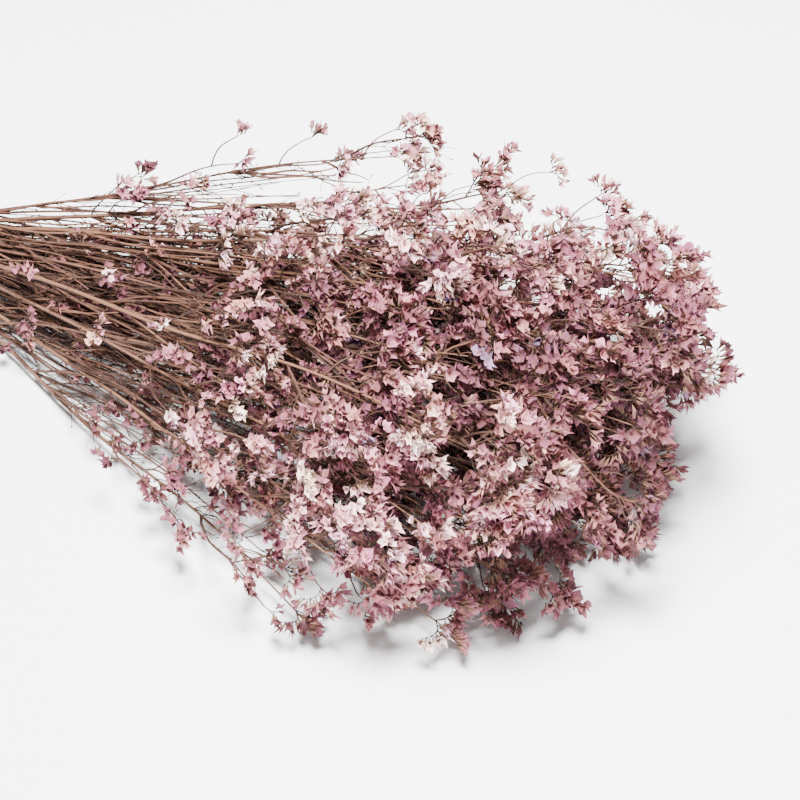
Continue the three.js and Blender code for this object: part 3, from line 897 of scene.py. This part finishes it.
def bareTwiglets(spray, limbs, random):
    # short steps whose direction swings to one side and back: t·cos + sideways·sin(±zigzag)
    roots, headings, lengths = [], [], []

    def add(root, t, length):
        roots.append(root)
        headings.append(leaned(t, anyAround(t, random, root), random.uniform(*twiglet["lean"])))
        lengths.append(length)

    for k in range(twiglet["onStem"]):
        x = spray["endX"] * random.uniform(*twiglet["at"])
        add(*onStem(spray, x), random.uniform(*twiglet["length"]) * shortBehind(twiglet, x))
    for line in limbs:
        for k in range(twiglet["onBranch"]):
            at = random.integers(2, len(line) - 2)
            length = random.uniform(*twiglet["length"]) * twiglet["onBranchLength"]
            add(line[at], unit(line[at + 1] - line[at]), length)
    roots, headings, lengths = np.array(roots), np.array(headings), np.array(lengths)
    raised = np.abs(headings[:, 2]) * twiglet["lowRise"]
    headings[:, 2] = np.where(roots[:, 2] < twiglet["lowRoots"], raised, headings[:, 2])
    lines = zigzags(roots, unit(headings), lengths, random)
    every, each = [lines], np.arange(len(lines))
    for k in range(twiglet["forks"]):
        fork = random.integers(1, 5, len(lines))
        t = unit(lines[each, fork + 1] - lines[each, fork])
        a, b = squareTo(t)
        angle = random.uniform(0, wholeTurn, (len(lines), 1))
        forked = unit(t + twiglet["forkLean"] * turned(a, b, angle))
        shorter = lengths * random.uniform(*twiglet["forkLength"], len(lines))
        every.append(zigzags(lines[each, fork], forked, shorter, random))
    thickness = np.repeat([1] + [twiglet["forkRadius"]] * twiglet["forks"], len(lines))[:, None]
    lines = np.concatenate(every)
    radii = np.linspace(*twiglet["radius"], twiglet["joints"])[None] * thickness
    tips = unit(lines[:, -1] - lines[:, -2])
    size = random.uniform(*twiglet["bract"], len(lines))
    tone = np.full(len(lines), twiglet["bractTone"])
    feet = lines[:, -1] - tips * twiglet["bractSunk"]
    scales = bracts(feet, tips, size, size * twiglet["bractWidth"], tone)
    return [tubes(lines, radii, 3, random.uniform(*twiglet["tones"], len(lines))), scales]


def zigzags(roots, headings, lengths, random):
    a, b = squareTo(headings)
    angle = random.uniform(0, wholeTurn, (len(roots), 1))
    sideways = turned(a, b, angle)
    steps = twiglet["joints"] - 1
    swing = twiglet["zigzag"] * np.where(np.arange(steps) % 2, 1, -1)
    swing = swing * random.uniform(*twiglet["zigzagShare"], (len(roots), steps))
    t = unit(headings[:, None] + sideways[:, None] * np.tan(swing)[..., None])
    stepped = t * (lengths / steps)[:, None, None]
    return np.concatenate([roots[:, None], roots[:, None] + np.cumsum(stepped, axis=1)], axis=1)


# materials, with colours as seen on a screen and noise sizes per metre

paperLook = dict(
    limb=[  # by tone, cream to mauve and then violet
        (0.03, (0.99, 0.89, 0.86)), (0.14, (0.98, 0.81, 0.81)), (0.4, (0.80, 0.56, 0.59)),
        (0.6, (0.56, 0.345, 0.40)), (0.82, (0.37, 0.22, 0.28)), (0.93, (0.34, 0.20, 0.26)),
        (0.985, (0.55, 0.45, 0.59)),
    ],
    mottling=0.5,
    casts=[  # lilac and tan patches, a few spikes wide
        (38, (0.44, 0), (0.6, 0.8), (0.96, 0.86, 1.0)),
        (53, (0.48, 0), (0.62, 0.85), (1.0, 0.98, 0.86)),
    ],
    withered=(0.47, 0.29, 0.25), vein=(0.42, 0.26, 0.21), veinStrength=0.72, tube=(0.54, 0.41, 0.33),
    tubeRib=(0.26, 0.16, 0.12), throat=(0.33, 0.17, 0.13), ribRelief=0.6, patches=300,
    roughness=(0.62, 0.9), bump=0.5, relief=0.0003, gloss=0.22,
)
barkLook = dict(
    wood=[
        (0.15, (0.14, 0.09, 0.08)), (0.42, (0.23, 0.15, 0.12)), (0.7, (0.32, 0.20, 0.155)),
        (0.97, (0.42, 0.29, 0.22)),
    ],
    pith=[(0.35, (0.55, 0.42, 0.29)), (0.65, (0.74, 0.62, 0.46))], ridgeWear=0.55, patchWear=0.75,
    middleTone=0.55, toneWear=0.8, streakWear=1.1,
    streaks=(4, 34, 90),  # round a stem, along it and from stem to stem
    ridgeRelief=0.8, streakRelief=1.2, patches=500, roughness=(0.55, 0.85), bump=0.6, relief=0.0003,
    gloss=0.3,
)


def painted(colour):  # a colour as seen on a screen, 0 to 1, into the shader's own numbers
    return *(c / 12.92 if c <= 0.04045 else ((c + 0.055) / 1.055) ** 2.4 for c in colour), 1


def newMaterial(name):
    material = bpy.data.materials.new(name)
    material.use_nodes = True
    nodes, links = material.node_tree.nodes, material.node_tree.links
    shader = nodes["Principled BSDF"]

    def feed(socket, value):
        if isinstance(value, bpy.types.NodeSocket):
            links.new(value, socket)
        else:
            socket.default_value = value

    def add(kind, inputs=None, **settings):
        node = nodes.new("ShaderNode" + kind)
        for key, value in settings.items():
            setattr(node, key, value)
        for key, value in (inputs or {}).items():
            feed(node.inputs[key], value)
        return node

    def ramp(factor, *stops):  # each stop has its place, and a grey or a colour
        node = add("ValToRGB", {"Fac": factor})
        while len(node.color_ramp.elements) < len(stops):
            node.color_ramp.elements.new(0.5)
        for element, (position, colour) in zip(node.color_ramp.elements, stops):
            element.position = position
            element.color = painted(colour) if isinstance(colour, tuple) else (colour,) * 3 + (1,)
        return node.outputs["Color"]

    def mix(factor, first, second, blend="MIX"):
        node = add("Mix", data_type="RGBA", blend_type=blend)
        for index, value in ((0, factor), (6, first), (7, second)):
            feed(node.inputs[index], painted(value) if isinstance(value, tuple) else value)
        return node.outputs[2]

    def maths(operation):
        return lambda first, second: add("Math", {0: first, 1: second}, operation=operation).outputs[0]

    def noise(size, detail=3, rough=0.6, at=None):
        inputs = {"Vector": at or objectPlace, "Scale": size, "Detail": detail, "Roughness": rough}
        return add("TexNoise", inputs).outputs["Fac"]

    def finish(colour, height, look):  # roughness in patches, fine relief and a dull gloss
        links.new(colour, shader.inputs["Base Color"])
        low, high = look["roughness"]
        rough = add("MapRange", {"Value": noise(look["patches"], 2), "To Min": low, "To Max": high})
        links.new(rough.outputs["Result"], shader.inputs["Roughness"])
        bump = add("Bump", {"Height": height, "Strength": look["bump"], "Distance": look["relief"]})
        links.new(bump.outputs["Normal"], shader.inputs["Normal"])
        shader.inputs["Specular IOR Level"].default_value = look["gloss"]
        return material

    objectPlace = add("TexCoord").outputs["Object"]
    growth = add("Attribute", attribute_name="growth").outputs["Color"]
    marks = add("SeparateColor", {"Color": growth}).outputs
    sums = [maths(operation) for operation in ("MULTIPLY", "ADD", "SUBTRACT")]
    return add, ramp, mix, *sums, noise, finish, [marks[channel] for channel in ("Red", "Green", "Blue")]


def paperMaterial(look):
    add, ramp, mix, times, plus, minus, noise, finish, (way, rib, tone) = newMaterial("papery calyx")
    # the tone mark holds each calyx's own tone plus the painted shade added in addCluster
    mottled = plus(tone, times(minus(noise(42, 2), 0.5), look["mottling"]))
    limb = ramp(mottled, *look["limb"])
    for size, none, most, cast in look["casts"]:
        limb = mix(ramp(noise(size, 1), none, most), limb, mix(1.0, limb, cast, "MULTIPLY"))
    blotch = ramp(noise(1100, 5, 0.75), (0.34, 0.55), (0.5, 0.92), (0.62, 1.0))
    limb = mix(1.0, limb, blotch, "MULTIPLY")
    withered = ramp(noise(560, 4, 0.75), (0.53, 0), (0.61, 0.75))  # brown flecks
    limb = mix(withered, limb, look["withered"])
    vein = times(ramp(rib, (0.7, 0), (0.93, 1)), ramp(way, (0.3, 1), (0.5, 0.6), (0.8, 1)))
    limb = mix(times(vein, look["veinStrength"]), limb, look["vein"])
    ribbed = mix(ramp(rib, (0.35, 0), (0.8, 1)), look["tube"], look["tubeRib"])
    outer = mix(ramp(way, (0.18, 0), (0.38, 0.34), (0.49, 1)), ribbed, limb)
    colour = mix(ramp(way, (0.56, 0), (0.8, 0.4), (0.96, 1)), outer, look["throat"])
    return finish(colour, plus(times(rib, look["ribRelief"]), noise(1500, 3)), look)


def barkMaterial(look):
    add, ramp, mix, times, plus, minus, noise, finish, (ridge, way, tone) = newMaterial("dried bark")
    worn = plus(times(ridge, look["ridgeWear"]), times(noise(260, 4, 0.7), look["patchWear"]))
    worn = plus(worn, times(minus(tone, look["middleTone"]), look["toneWear"]))
    marks = zip("XYZ", (ridge, way, tone), look["streaks"])
    stretched = {axis: times(mark, size) for axis, mark, size in marks}
    streak = noise(1.0, 4, 0.65, add("CombineXYZ", stretched).outputs["Vector"])
    worn = plus(worn, times(minus(streak, 0.5), look["streakWear"]))
    pith = ramp(noise(900, 3), *look["pith"])
    colour = mix(ramp(way, (0.02, 1), (0.06, 0)), ramp(worn, *look["wood"]), pith)
    crease = plus(noise(1100, 4), times(streak, look["streakRelief"]))
    return finish(colour, plus(times(ridge, look["ridgeRelief"]), crease), look)


paper = paperMaterial(paperLook)
driedBark = barkMaterial(barkLook)
print("materials made")

trianglesMade = 0
for spray in sprays:
    flowerBlocks, barkBlocks = growSpray(spray)
    made = [
        (makePiece(spray["name"] + "_calyces", flowerBlocks, paper, crisp=True), "calyx"),
        (makePiece(spray["name"] + "_stems", barkBlocks, driedBark), "stem"),
    ]
    for piece, slot in made:
        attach(piece, "root")
        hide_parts(spray["name"])
        trianglesMade += sum(len(polygon.vertices) - 2 for polygon in piece.data.polygons)
print("sprays dressed:", trianglesMade, "triangles")

# floor, light and camera

studio = dict(
    floor=(0.87, 0.87, 0.875), floorSize=24.0, floorHeight=-0.0004, floorRoughness=0.9,
    world=(1.0, 1.0, 1.0), worldStrength=0.26,
    softBoxes=[  # name, place, size, watts
        ("key", (0.25, -0.15, 1.95), 0.7, 312),
        ("front fill", (1.1, -1.3, 1.5), 1.6, 10),
    ],
    lit=(0.1, 0, 0.05), azimuth=math.radians(29.5), elevation=math.radians(50),
    frameSize=800,  # pixels of the photograph
    pixel=0.00058,  # metres in one of them
    neckPixel=(-121, 224), neckHeight=8, distance=2.6, targetHeight=0.07, sensor=36, clipEnd=30,
)


def makeFloor():
    half, z = studio["floorSize"] / 2, studio["floorHeight"]
    mesh = bpy.data.meshes.new("table")
    corners = [(-half, -half, z), (half, -half, z), (half, half, z), (-half, half, z)]
    mesh.from_pydata(corners, [], [(0, 1, 2, 3)])
    floor = bpy.data.objects.new("table", mesh)
    bpy.context.scene.collection.objects.link(floor)
    material = bpy.data.materials.new("pale table")
    material.use_nodes = True
    shader = material.node_tree.nodes["Principled BSDF"]
    shader.inputs["Base Color"].default_value = (*studio["floor"], 1)
    shader.inputs["Roughness"].default_value = studio["floorRoughness"]
    mesh.materials.append(material)


def placeAndAim(thing, location, towards):
    thing.location = location
    thing.rotation_euler = (Vector(towards) - thing.location).to_track_quat("-Z", "Y").to_euler()
    bpy.context.scene.collection.objects.link(thing)


def makeLights():
    world = bpy.data.worlds.new("studio")
    world.use_nodes = True
    sky = world.node_tree.nodes["Background"]
    sky.inputs["Color"].default_value = (*studio["world"], 1)
    sky.inputs["Strength"].default_value = studio["worldStrength"]
    bpy.context.scene.world = world
    for name, location, size, watts in studio["softBoxes"]:
        data = bpy.data.lights.new(name, "AREA")
        data.shape = "DISK"
        data.size = size
        data.energy = watts
        placeAndAim(bpy.data.objects.new(name, data), location, studio["lit"])


def makeCamera():
    # the photo's right and up on the object; the gathering's pixel fixes what the middle pixel sees
    azimuth, elevation, pixel = studio["azimuth"], studio["elevation"], studio["pixel"]
    right = np.array([math.cos(azimuth), math.sin(azimuth), 0])
    lift = np.array([-math.sin(elevation) * right[1], math.sin(elevation) * right[0], math.cos(elevation)])
    back = np.cross(right, lift)
    half, (neckX, neckY) = studio["frameSize"] / 2, studio["neckPixel"]
    neck = (place + [0, 0, studio["neckHeight"]]) * mm
    middle = neck + right * (half - neckX) * pixel + lift * (neckY - half) * pixel
    middle = middle + back * (studio["targetHeight"] - middle[2]) / back[2]
    data = bpy.data.cameras.new("camera")
    data.sensor_width = studio["sensor"]
    data.lens = studio["sensor"] * studio["distance"] / (studio["frameSize"] * pixel)
    data.clip_end = studio["clipEnd"]
    camera = bpy.data.objects.new("camera", data)
    placeAndAim(camera, middle + back * studio["distance"], middle)
    bpy.context.scene.camera = camera


makeFloor()
makeLights()
makeCamera()
print("studio set")
